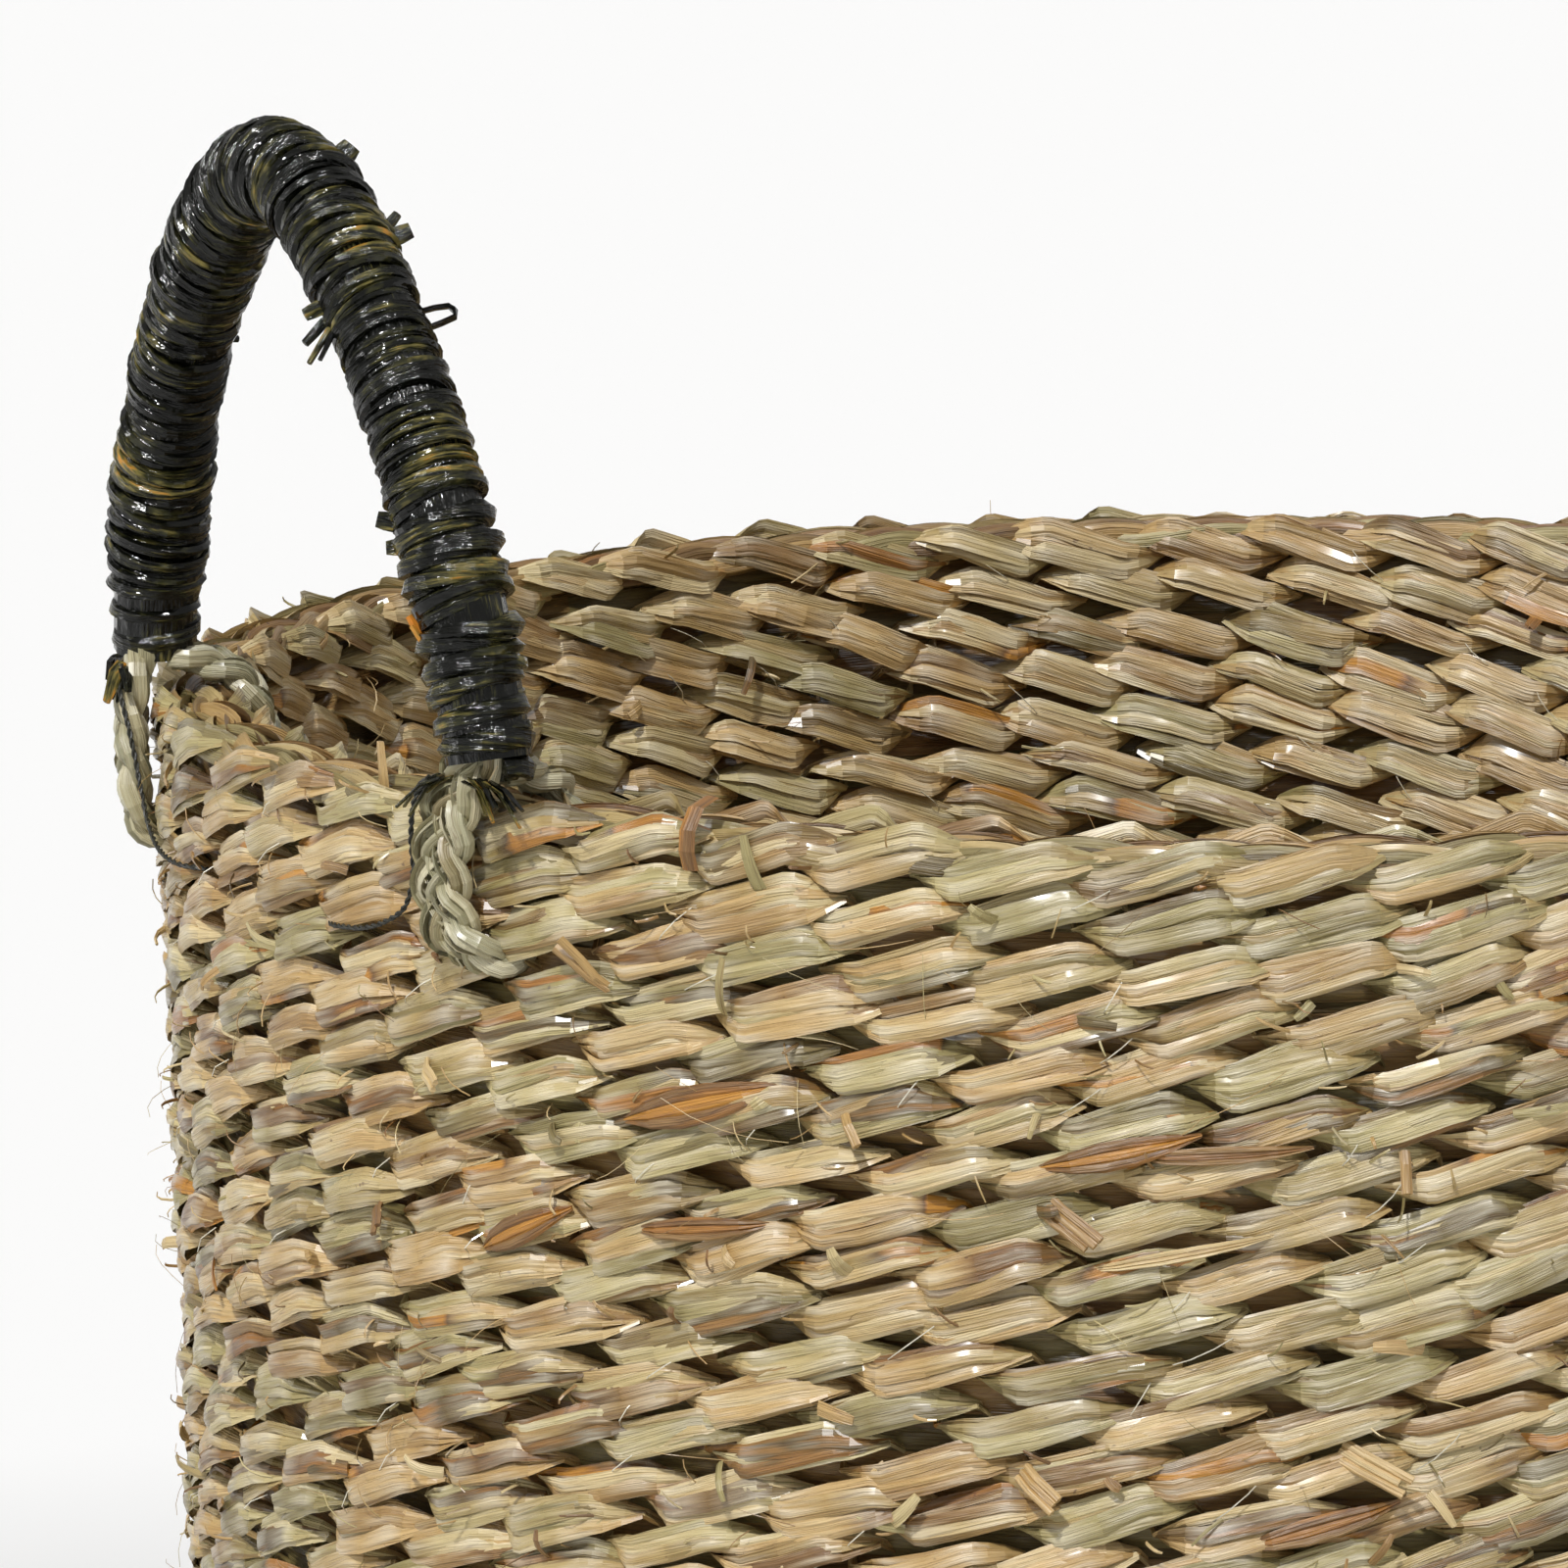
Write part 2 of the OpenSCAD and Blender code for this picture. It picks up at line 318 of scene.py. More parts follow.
class Plait:
    """Stalks of the flat three-strand plait of the coil. The strands cross between its two faces."""

    def __init__(self, seed, length, width, crown, stalks, stalk_w, stalk_t):
        self.width = width
        self.crown = crown
        self.stalks = stalks
        rows = 3 * stalks
        draws = np.random.default_rng(seed)
        self.rank = np.tile((np.arange(stalks) + 0.5) / stalks, 3)[:, None]
        self.layer = draws.uniform(-0.45, 0.45, (rows, 1)) * stalk_t

        def wander(step, count, spacing, low, high):
            return Wander(seed + step, count, length, spacing, low, high)

        self.shift = wander(1, rows, 24, -0.17, 0.17)
        self.depth = wander(2, rows, HALF_PASS, -0.5 * stalk_t, 0.5 * stalk_t)
        self.stalk_w = wander(3, rows, 2 * HALF_PASS, *stalk_w)
        self.stalk_t = wander(4, rows, 30, stalk_t * 0.7, stalk_t * 1.2)
        self.twist = wander(5, rows, HALF_PASS, -0.5, 0.5)
        self.tone = wander(6, rows, 70, 0.0, 1.0)
        self.stalk_tone = wander(7, rows, 58, 0.0, 1.0)
        self.rust = wander(8, rows, 36, 0.0, 1.0)
        self.timing = wander(9, 3, 60, -3.2, 3.2)
        self.bulge = wander(10, 3, 2 * HALF_PASS, -1.1, 0.9)
        self.lift = wander(11, 3, 2 * HALF_PASS, -1.1, 1.1)
        self.swell = wander(12, 3, 2 * HALF_PASS, 0.78, 1.15)
        self.warm = wander(13, rows, 90, 0.0, 1.0)
        self.strand_warm = wander(14, 3, 55, 0.0, 1.0)
        self.drift_at = np.linspace(0, length, int(length / DRIFT_SPACING))
        self.drift = np.random.default_rng(seed + 15).uniform(-DRIFT, DRIFT, len(self.drift_at))
        self.drift[[0, -1]] = 0

    def rings(self, start, end):
        """Lengths at which a strand's rings lie: close together at each kink."""
        passes = np.arange(math.floor(start / HALF_PASS / 2) - 1, math.ceil(end / HALF_PASS / 2) + 2)
        at = (passes[:, None] * 2 * HALF_PASS + np.array(PASS_RINGS)).ravel()
        return at[(at > start - 2) & (at < end + 2)]

    def group(self, frame_at, start, end, squeeze):
        """The stalks from start to end. squeeze(u) scales the plait about its centre line."""
        strand_of = np.repeat(np.arange(3), self.stalks)
        offset = strand_of[:, None] * PERIOD / 3
        ring_lists = [self.rings(start + k * PERIOD / 3, end + k * PERIOD / 3) - k * PERIOD / 3
                      for k in range(3)]
        count = min(len(r) for r in ring_lists)
        u = np.stack([r[:count] for r in ring_lists])[strand_of]
        u = np.clip(u, start, end)
        u[:, 0] = start
        u[:, -1] = end

        def of_strand(wander):
            return wander.at(u[:: self.stalks])[strand_of]

        local = u + offset
        number = np.floor(local / (2 * HALF_PASS) + 0.5)
        local = local - number * 2 * HALF_PASS
        face = np.where(number % 2 == 0, 1.0, -1.0)
        rank = 0.5 + (self.rank - 0.5) * of_strand(self.swell) + self.shift.at(u)
        first, second = (low + (high - low) * rank for low, high in zip(LOW_EDGE, HIGH_EDGE))
        to_first = np.clip((local + TIP) / (TIP - KINK), 0, 1)
        to_second = np.clip((local + KINK) / (2 * KINK), 0, 1)
        to_tip = np.clip((local - KINK) / (TIP - KINK), 0, 1)
        up = -TIP_RISE + (first + TIP_RISE) * to_first
        up = up + (second - first) * to_second + (TIP_RISE - second) * to_tip
        crossing = np.clip((np.abs(local) - TIP) / (HALF_PASS - TIP), 0, 1)
        up = up - np.sign(local) * TIP_RISE * crossing
        open_share = np.clip(1 - (np.abs(local) / HALF_PASS) ** 2, 0, 1)
        crown = self.crown * (1 - (2 * rank - 1) ** 2) - STRAND_TILT * (rank - 0.5)
        layer = (crown + self.layer + self.depth.at(u)) * np.sqrt(open_share)
        out = face * ((self.width + of_strand(self.bulge)) * np.interp(local, DEPTH_AT, DEPTH) + layer)
        bend = np.clip((np.abs(local) - TURN_FROM) / TURN_OVER, 0, 1)
        turn = np.sign(local) * face * math.pi / 2 * bend
        spare = (rank - 0.5) * SPREAD_AT_TURN * bend
        out = out - spare * np.sin(turn)
        up = up + spare * np.cos(turn) + of_strand(self.lift)
        size = squeeze(u)
        timing = of_strand(self.timing) * (u > start) * (u < end)
        timing = timing + np.interp(u, self.drift_at, self.drift)
        centre, outward, onward = frame_at(u + timing)
        centre = centre + outward * (out * size)[..., None] + onward * (up * size)[..., None]
        lean = turn + self.twist.at(u)
        across = onward * np.cos(lean)[..., None] - outward * np.sin(lean)[..., None]
        # Closeness to a kink, where the material paints a pale highlight on the crease
        crease_highlight = np.clip(1.5 - np.abs(np.abs(local) - KINK) / CREASE_HIGHLIGHT_REACH, 0, 1)
        warm = 0.4 * self.warm.at(u) + 0.6 * of_strand(self.strand_warm)
        tone = 0.4 * self.tone.at(u) + 0.6 * self.stalk_tone.nearest(u)
        tone = np.clip(0.5 + TONE_CONTRAST * (tone - 0.5), 0, 1)
        rust = self.rust.nearest(u) < RUST_SHARE
        inner = face < 0
        return {
            "centre": centre,
            "across": across,
            "width": self.stalk_w.at(u) * size * (TIP_WIDTH + (1 - TIP_WIDTH) * open_share**0.8),
            "thick": self.stalk_t.at(u) * size,
            # The inside face's tone is raised here as painted light
            "tone": np.where(rust, 0.0, 0.14 + 0.86 * tone + INNER_PAINTED_LIGHT * inner),
            "warm": warm + INNER_WARMER * inner,
            "crease_highlight": crease_highlight,
            "start": start,
        }


BRAID_RINGS = 22


def braid_group(seed, frame_at, length, period, half_width, rise, bundle_w, bundle_t, stalks, stalk_w):
    """A small braid of three round bundles of stalks, from length 0 to length."""
    draws = np.random.default_rng(seed)
    rows = 3 * stalks
    rings = int(length / (period / BRAID_RINGS))
    u = np.broadcast_to(np.linspace(0, length, rings), (rows, rings))
    bundle = np.repeat(np.arange(3), stalks)[:, None]
    timing = Wander(seed + 1, 3, length, period, -0.04 * period, 0.04 * period).at(u[::stalks])
    angle = TWO_PI * ((u + timing[bundle[:, 0]]) / period + bundle / 3)
    sway = np.arcsin(0.97 * np.sin(angle)) / (math.pi / 2)
    centre, outward, onward = frame_at(u)
    line = centre + outward * (half_width * sway)[..., None]
    line = line + onward * (rise * np.sin(2 * angle))[..., None]
    forward = unit(np.gradient(line, axis=1))
    side = unit(np.cross(onward, forward))
    face = np.cross(forward, side)
    spin = Wander(seed + 2, 3, length, 1.5 * period, -0.5, 0.5).at(u[::stalks])[bundle[:, 0]]
    turn = np.tile(np.arange(stalks) * TWO_PI / stalks, 3)[:, None] + spin
    c, s = np.cos(turn), np.sin(turn)
    line = line + side * (bundle_w / 2 * c)[..., None] + face * (bundle_t / 2 * s)[..., None]
    across = side * (-bundle_t * s)[..., None] + face * (bundle_w * c)[..., None]
    lengthy = np.ones((1, rings))
    return {
        "centre": line,
        "across": -across,
        "width": Wander(seed + 3, rows, length, period / 2, *stalk_w).at(u),
        "thick": Wander(seed + 4, rows, length, period / 2, 0.7, 1.2).at(u),
        "tone": draws.uniform(0.2, 1.0, (rows, 1)) * lengthy,
        "warm": draws.uniform(0.2, 0.7, (rows, 1)) * lengthy,
    }


# ---------------- materials
def srgb(red, green, blue):
    """Linear colour of an 8-bit sRGB one."""
    def linear(c):
        c = c / 255
        return c / 12.92 if c <= 0.04045 else ((c + 0.055) / 1.055) ** 2.4
    return (linear(red), linear(green), linear(blue), 1.0)


class Nodes:
    """A short way to build one material's nodes."""

    def __init__(self, name):
        self.material = bpy.data.materials.new(name)
        self.material.use_nodes = True
        self.tree = self.material.node_tree
        self.shader = self.tree.nodes["Principled BSDF"]

    def value(self, target, source):
        if isinstance(source, bpy.types.NodeSocket):
            self.tree.links.new(source, target)
        else:
            target.default_value = source

    def add(self, kind, inputs, output=0, **settings):
        """One output of a new node, which has these inputs by name or number, and these settings."""
        node = self.tree.nodes.new(kind)
        for key, setting in settings.items():
            setattr(node, key, setting)
        for place, source in inputs.items():
            self.value(node.inputs[place], source)
        return node.outputs[output]

    def math(self, operation, a, b):
        return self.add("ShaderNodeMath", {0: a, 1: b}, operation=operation)

    def mix(self, factor, a, b, blend="MIX"):
        inputs = {0: factor, 6: a, 7: b}
        return self.add("ShaderNodeMix", inputs, 2, data_type="RGBA", blend_type=blend)

    def attribute(self, name, output="Fac"):
        return self.add("ShaderNodeAttribute", {}, output, attribute_name=name)

    def noise(self, vector, scale, detail=2.0, rough=0.5):
        inputs = {"Vector": vector, "Scale": scale, "Detail": detail, "Roughness": rough}
        return self.add("ShaderNodeTexNoise", inputs, "Fac")

    def fibres(self, fineness, detail=2.0, rough=0.5):
        """Noise that follows the stalks. The fineness is along a stalk, across it and between stalks."""
        inputs = {0: self.attribute("fibre", "Vector"), 1: fineness}
        place = self.add("ShaderNodeVectorMath", inputs, operation="MULTIPLY")
        return self.noise(place, 1.0, detail, rough)

    def ramp(self, factor, stops):
        """Colours that blend from stop to stop, each stop a place and an 8-bit sRGB colour."""
        out = self.add("ShaderNodeValToRGB", {"Fac": factor}, "Color")
        ramp = out.node.color_ramp
        while len(ramp.elements) < len(stops):
            ramp.elements.new(1.0)
        for element, (place, colour) in zip(ramp.elements, stops):
            element.position = place
            element.color = srgb(*colour)
        return out

    def bump(self, height, strength, distance):
        inputs = {"Height": height, "Strength": strength, "Distance": distance}
        return self.add("ShaderNodeBump", inputs)

    def shade(self, **inputs):
        for key, source in inputs.items():
            self.value(self.shader.inputs[key.replace("_", " ")], source)


GREEN_STRAW = [
    (0.0, (175, 120, 52)),
    (0.08, (155, 113, 56)),
    (0.15, (103, 84, 45)),
    (0.3, (140, 126, 78)),
    (0.5, (166, 153, 100)),
    (0.72, (187, 173, 119)),
    (1.0, (210, 194, 142)),
]
WARM_STRAW = [
    (0.0, (202, 142, 50)),
    (0.08, (168, 114, 47)),
    (0.15, (124, 88, 44)),
    (0.3, (169, 133, 80)),
    (0.5, (195, 160, 100)),
    (0.72, (212, 180, 124)),
    (1.0, (224, 203, 153)),
]
ROPE_GREEN = [
    (0.0, (120, 112, 78)),
    (0.3, (154, 150, 116)),
    (0.65, (184, 180, 146)),
    (1.0, (212, 208, 180)),
]
ROPE_PALE = [
    (0.0, (150, 128, 88)),
    (0.3, (176, 166, 126)),
    (0.65, (200, 192, 156)),
    (1.0, (224, 216, 186)),
]
BLACK = (0, 0, 0)
WHITE = (255, 255, 255)


def straw_material(name, green, warm):
    """Dry seagrass: each stalk has its own tone, long streaks and dark splits. Its creases are glossier
    and carry a painted highlight, a pale colour mixed in along them.
    """
    n = Nodes(name)
    streak = n.fibres((0.05, 0.5, 1.0))
    fine = n.fibres((0.06, 3.6, 1.0))
    split = n.fibres((0.02, 1.1, 2.3), 1.0, 0.4)
    spot = n.fibres((0.35, 0.5, 3.1))
    shift = n.math("MULTIPLY", n.math("SUBTRACT", streak, 0.5), 0.4)
    tone = n.math("ADD", n.attribute("tone"), shift)
    hue = n.ramp(n.attribute("warm"), [(0.34, BLACK), (0.62, WHITE)])
    colour = n.mix(hue, n.ramp(tone, green), n.ramp(tone, warm))
    lines = n.ramp(fine, [(0.34, (206, 190, 160)), (0.54, WHITE)])
    colour = n.mix(0.45, colour, lines, "MULTIPLY")
    cracks = n.ramp(split, [(0.47, WHITE), (0.482, (150, 108, 66)), (0.494, WHITE)])
    colour = n.mix(0.6, colour, cracks, "MULTIPLY")
    specks = n.ramp(spot, [(0.22, (116, 76, 44)), (0.28, WHITE)])
    colour = n.mix(0.7, colour, specks, "MULTIPLY")
    # Painted highlight: a pale colour is mixed into the creases in streaks, standing in for glints
    glint = n.ramp(streak, [(0.42, BLACK), (0.6, WHITE)])
    crease_highlight = n.math("MULTIPLY", n.attribute("crease_highlight"), glint)
    colour = n.mix(n.math("MULTIPLY", crease_highlight, 0.5), colour, srgb(240, 232, 212))
    rough = n.math("SUBTRACT", n.math("ADD", 0.3, n.math("MULTIPLY", fine, 0.25)),
                   n.math("MULTIPLY", crease_highlight, 0.12))
    height = n.math("ADD", n.math("MULTIPLY", fine, 0.6), streak)
    normal = n.bump(height, 1.0, 0.0009)
    n.shade(Base_Color=colour, Roughness=rough, Normal=normal, Specular_IOR_Level=0.5)
    n.shade(Coat_Weight=0.25, Coat_Roughness=0.2)
    return n.material


def wrap_material():
    """Black-dyed cord: glossy, with olive and amber where the dye is thin."""
    n = Nodes("black_wrap")
    streak = n.fibres((0.13, 1.1, 1.0), 3.0, 0.6)
    fine = n.fibres((0.16, 3.6, 1.0))
    patch = n.noise(n.add("ShaderNodeTexCoord", {}, "Object"), 60.0, 2.0, 0.6)
    thin = n.math("ADD", n.math("MULTIPLY", streak, 0.6), n.math("MULTIPLY", patch, 0.4))
    thin = n.math("ADD", thin, n.math("MULTIPLY", n.attribute("tone"), 0.1))
    stops = [
        (0.0, (4, 5, 4)),
        (0.54, (11, 12, 8)),
        (0.61, (48, 48, 26)),
        (0.69, (124, 114, 62)),
        (0.76, (196, 138, 54)),
        (0.9, (206, 128, 44)),
    ]
    colour = n.ramp(thin, stops)
    rough = n.math("ADD", 0.06, n.math("MULTIPLY", fine, 0.12))
    normal = n.bump(n.math("ADD", n.math("MULTIPLY", fine, 0.16), streak), 0.8, 0.0011)
    n.shade(Base_Color=colour, Roughness=rough, Normal=normal, Specular_IOR_Level=0.34)
    return n.material


def thread_material():
    """Thin clear sewing thread."""
    n = Nodes("clear_thread")
    haze = n.fibres((0.5, 1.0, 1.0))
    colour = n.ramp(haze, [(0.3, (196, 188, 164)), (0.7, (226, 222, 204))])
    n.shade(Base_Color=colour, Roughness=0.18, Specular_IOR_Level=0.6)
    return n.material


def tie_material():
    """Dull black twine."""
    n = Nodes("black_tie")
    fine = n.fibres((0.8, 6.0, 1.0), 3.0)
    colour = n.ramp(fine, [(0.35, (16, 17, 14)), (0.66, (46, 46, 32)), (0.8, (92, 84, 44))])
    n.shade(Base_Color=colour, Roughness=0.5, Normal=n.bump(fine, 0.5, 0.0003))
    return n.material


def floor_material():
    """Pale and matt, a little darker close to the basket so that less light comes up from below."""
    n = Nodes("pale_floor")
    where = n.add("ShaderNodeTexCoord", {}, "Object")
    distance = n.add("ShaderNodeVectorMath", {0: where}, 1, operation="LENGTH")
    grain = n.noise(where, 3.0, 2.0)
    near = n.math("ADD", distance, n.math("MULTIPLY", grain, 0.04))
    stops = [(0.3, (205, 205, 204)), (0.56, (252, 252, 252))]
    colour = n.ramp(n.math("MULTIPLY", near, 0.5), stops)
    n.shade(Base_Color=colour, Roughness=0.9, Specular_IOR_Level=0.0)
    return n.material


# ---------------- pieces
def add_piece(name, groups, body, slot, *nodes):
    """A piece made of tubes, the body that it rides on, its slot and the CAD nodes that it replaces."""
    obj = swept_mesh(name, groups)
    obj.data.materials.append(materials[slot])
    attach(obj, body)
    if nodes:
        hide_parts(*nodes)


materials = {
    "seagrass_plait": straw_material("seagrass", GREEN_STRAW, WARM_STRAW),
    "seagrass_rope": straw_material("seagrass_rope", ROPE_GREEN, ROPE_PALE),
    "black_cord": wrap_material(),
    "clear_thread": thread_material(),
    "black_thread": tie_material(),
}

coil_plait = Plait(
    seed=11, length=length_table[-1], width=8.7, crown=0.9, stalks=5, stalk_w=(2.2, 6.4), stalk_t=1.2,
)

# The coil tapers over its first and last stretches
TAPER_START = 34.0
TAPER_END = 76.0
NARROWEST = 0.15
# Ribbons along the middle of the plait: step, distance from the centre line, width, thickness, and
# how far they drop over the last course
HEART_STEP = 11.0
HEART_UP = 3.0
HEART_WIDTH = 7.6
HEART_THICK = 2.4
HEART_DROP = 4.5
RIM_COVER_UP = 1.3
# How much the rim cover's tones are scaled down: painted shade that darkens the rim's top
RIM_COVER_PAINTED_SHADE = 0.72


def coil_squeeze(u):
    """The coil tapers at its start and over its last stretch, where its end is tucked in."""
    from_start = (u + 14) / TAPER_START
    from_end = (length_table[-1] + 6 - u) / TAPER_END
    return np.clip(np.minimum(from_start, from_end), NARROWEST, 1)


def coil_heart(start, end):
    """Two ribbons along the middle of the plait, which close the gaps between its strands. They are
    kept dark as painted shade in those gaps.
    """
    steps = np.arange(start, end, HEART_STEP)
    u = np.broadcast_to(steps, (2, len(steps)))
    centre, outward, onward = coil_frame(u)
    side = np.array([[-1.0], [1.0]])
    size = coil_squeeze(u)
    wave = np.sin(u / 17.0 + side)
    up = HEART_UP * side - HEART_DROP * smooth((u - length_at(COURSES - 1.5)) / 300)
    return {
        "centre": centre + onward * (up * size)[..., None] + outward * (1.2 * wave * size)[..., None],
        "across": onward,
        "width": HEART_WIDTH * size,
        "thick": HEART_THICK * size,
        # A low tone, as painted shade between the strands
        "tone": 0.26 + 0.08 * wave,
        "warm": 0.5 + 0.3 * np.sin(u / 61.0 + side),
        "start": start,
        "first": 90,
    }


def coil_pieces():
    """The coil, cut into pieces that each stand for the CAD node of the same courses."""
    wall_first = BASE_COURSES + 4
    coil_turns = (COURSES - ANCHORED_COURSES - wall_first) / 4
    spans = [("base_coil", COIL_START, BASE_COURSES, 3), ("heel_coil", BASE_COURSES, wall_first, 2)]
    for i in range(4):
        first = wall_first + i * coil_turns
        spans.append((f"wall_coil_{i + 1}", first, first + coil_turns, 3))
    spans.append(("rim_coil", COURSES - ANCHORED_COURSES, COIL_END_TURN, 2))
    for node, first, last, parts in spans:
        # The turns of the bottom grow in length, so its inner pieces take more of them
        power = 0.5 if node == "base_coil" else 1
        ends = [length_at(first + (last - first) * (k / parts) ** power) for k in range(parts + 1)]
        for k in range(parts):
            plait = coil_plait.group(coil_frame, ends[k], ends[k + 1], coil_squeeze)
            groups = [plait, coil_heart(ends[k], ends[k + 1])]
            add_piece(f"{node}_plait_{k + 1}", groups, "basket", "seagrass_plait", node)


def rim_cover():
    """The top face of the last course, where the plait's three strands are seen crossing."""
    first = length_at(COIL_END_TURN - 1.12)

    def frame_at(u):
        centre, outward, onward = coil_frame(u + first)
        return centre + onward * RIM_COVER_UP, outward, onward

    length = length_table[-1] - first - 20
    braid = braid_group(
        seed=31, frame_at=frame_at, length=length, period=PERIOD, half_width=5.0, rise=1.2,
        bundle_w=9.0, bundle_t=3.0, stalks=6, stalk_w=(2.6, 4.8),
    )
    # Painted shade: the rim's top face is made darker
    braid["tone"] = RIM_COVER_PAINTED_SHADE * braid["tone"]
    add_piece("rim_cover_plait", [braid], "basket", "seagrass_plait", "rim_coil")


coil_pieces()
rim_cover()

# ---------------- handles
FOOT_RADIUS = 228.0
FOOT_ANGLE = 22.0
ARCH_HEIGHT = 103.0
ARCH_TOP_RADIUS = 40.0
ARCH_TOP_HALF = math.radians(35)
ARCH_LEAN = math.radians(4)
WRAP_RADIUS = 10.7
LINING_RADIUS = 8.7
LINING_PAST_FOOT = 6.0
foot_y = FOOT_RADIUS * math.sin(math.radians(FOOT_ANGLE))
top_centre = ARCH_HEIGHT - ARCH_TOP_RADIUS
side_extra = (foot_y**2 + top_centre**2 - ARCH_TOP_RADIUS**2) / (
    2 * (ARCH_TOP_RADIUS - foot_y * math.sin(ARCH_TOP_HALF) + top_centre * math.cos(ARCH_TOP_HALF))
)
side_radius = ARCH_TOP_RADIUS + side_extra
side_centre_y = side_extra * math.sin(ARCH_TOP_HALF)
side_centre_h = top_centre - side_extra * math.cos(ARCH_TOP_HALF)
foot_turn = math.pi / 2 - math.asin(-side_centre_h / side_radius)
top_half_length = ARCH_TOP_RADIUS * ARCH_TOP_HALF
arch_half = top_half_length + side_radius * (foot_turn - ARCH_TOP_HALF)
pivots = {j["child"]: Vector(j["pos_m"]) / MM for j in frame["joints"]}
SIDES = (("left", -1), ("right", 1))
ENDS = (("front", -1), ("back", 1))


def arch_frame(side, v):
    """Centre, outward normal and sideways direction of an arch at length v, 0 at its top and
    negative towards its front foot. Past a foot the arch goes straight on."""
    sign = np.sign(v)
    beyond = np.abs(v) - top_half_length
    turn = np.clip(ARCH_TOP_HALF + beyond / side_radius, None, foot_turn)
    on_top = beyond < 0
    turn = np.where(on_top, np.abs(v) / ARCH_TOP_RADIUS, turn)
    extra = np.maximum(np.abs(v) - arch_half, 0)
    radius = np.where(on_top, ARCH_TOP_RADIUS, side_radius)
    y = np.where(on_top, 0, -side_centre_y) + radius * np.sin(turn) + extra * np.cos(turn)
    h = np.where(on_top, top_centre, side_centre_h) + radius * np.cos(turn) - extra * np.sin(turn)
    pivot = pivots["left_handle" if side < 0 else "right_handle"]
    lean = side * math.sin(ARCH_LEAN)
    centre = stack(pivot.x + h * lean, sign * y, pivot.z + h * math.cos(ARCH_LEAN))
    up_part = np.cos(turn)
    outward = stack(up_part * lean, sign * np.sin(turn), up_part * math.cos(ARCH_LEAN))
    sideways = np.broadcast_to(np.array([math.cos(ARCH_LEAN), 0, -lean]), centre.shape)
    return centre, outward, sideways


WRAP_PLIES = 2
WRAP_RINGS = 26
WRAP_TWIST_LENGTH = 85.0
WRAP_PAST_FOOT = 8.5
WRAP_PITCH = (2.6, 4.6)
MOST_TURNS = 160
# The cord is thicker over this last stretch at each foot, and grows to it over the second length
THICK_FOOT = 34.0
THICKENING = 12.0


def foot_share(v):
    """How far a turn of the wrap belongs to the thicker stretch at a foot."""
    return smooth((np.abs(v) - arch_half + THICK_FOOT) / THICKENING)


def wrap_cord(side, seed):
    """The black cord wound round an arch: two flat plies twisted together, in uneven turns."""
    draws = np.random.default_rng(seed)
    reach = arch_half + WRAP_PAST_FOOT
    pitch = draws.uniform(*WRAP_PITCH, MOST_TURNS)
    edges = np.concatenate([[0], np.cumsum(pitch)]) - reach
    pitch = pitch * (1 + 0.45 * foot_share(edges[:-1]))
    edges = np.concatenate([[0], np.cumsum(pitch)]) - reach
    turns = int(np.searchsorted(edges, reach)) - 1
    count = turns * WRAP_RINGS
    turn = np.arange(count) / WRAP_RINGS
    around = turn * TWO_PI
    knots = np.arange(len(pitch))
    tilt_at = np.interp(turn, knots, draws.uniform(-1.0, 1.0, len(pitch)))
    side_at = np.interp(turn, knots[::4], draws.uniform(-2.6, 2.6, len(knots[::4])))
    middle = np.interp(turn, np.arange(len(edges)), edges)
    v = middle + tilt_at * (1.2 + 0.9 * foot_share(middle)) * np.cos(around - side_at)
    cord = np.interp(turn, knots + 0.5, pitch)
    bump = np.interp(turn, knots, draws.uniform(-0.45, 0.7, len(pitch)))
    swell = np.interp(middle, np.linspace(-reach, reach, 24), draws.uniform(-0.55, 0.45, 24))
    past = np.maximum(np.abs(middle) - arch_half, 0)
    rounding = np.sqrt(np.maximum(1 - (past / 11.5) ** 2, 0.3))
    radius = (WRAP_RADIUS - 0.52 * cord + bump + swell) * rounding
    centre, outward, sideways = arch_frame(side, v)
    ray = outward * np.cos(around)[:, None] + sideways * np.sin(around)[:, None]
    line = centre + ray * radius[:, None]
    beside = np.cross(unit(np.gradient(line, axis=0)), ray)
    steps = length_steps(line)
    along = np.broadcast_to(steps, (WRAP_PLIES, count))

    def wander(step, spacing, low, high):
        return Wander(seed + step, WRAP_PLIES, steps[-1] + 1, spacing, low, high).at(along)

    ply = np.arange(WRAP_PLIES)[:, None] / WRAP_PLIES
    twist = TWO_PI * (along / WRAP_TWIST_LENGTH + ply) + wander(1, 30, -1.0, 1.0)
    c, s = np.cos(twist)[..., None], np.sin(twist)[..., None]
    return {
        "centre": line + (ray * c + beside * s) * (cord * 0.24)[:, None],
        "across": beside * c - ray * s,
        "width": cord * wander(2, 16, 0.6, 1.05),
        "thick": cord * wander(3, 16, 0.5, 0.85),
        "tone": wander(4, 40, 0, 1),
        "section": CORD_SECTION,
    }


def wrap_lining(side):
    """A dark tube under the turns of the wrap, which shows between them."""
    reach = arch_half + LINING_PAST_FOOT
    centre, _, sideways = arch_frame(side, np.linspace(-reach, reach, 90))
    return strip(centre, sideways, 2 * LINING_RADIUS, 2 * LINING_RADIUS, 0.0, round_section(14))


def strip(points, across, width, thick, tone, section=STALK_SECTION, warm=None):
    """One stalk or thread through a few points, as a group for swept_mesh."""
    points = np.array([points], float)
    ring = np.ones(points.shape[:2])
    return {
        "centre": points,
        "across": np.broadcast_to(across, points.shape),
        "width": ring * width,
        "thick": ring * thick,
        "tone": ring * tone,
        "warm": ring * (tone if warm is None else warm),
        "section": section,
        "first": int(tone * 977) + points.shape[1],
    }


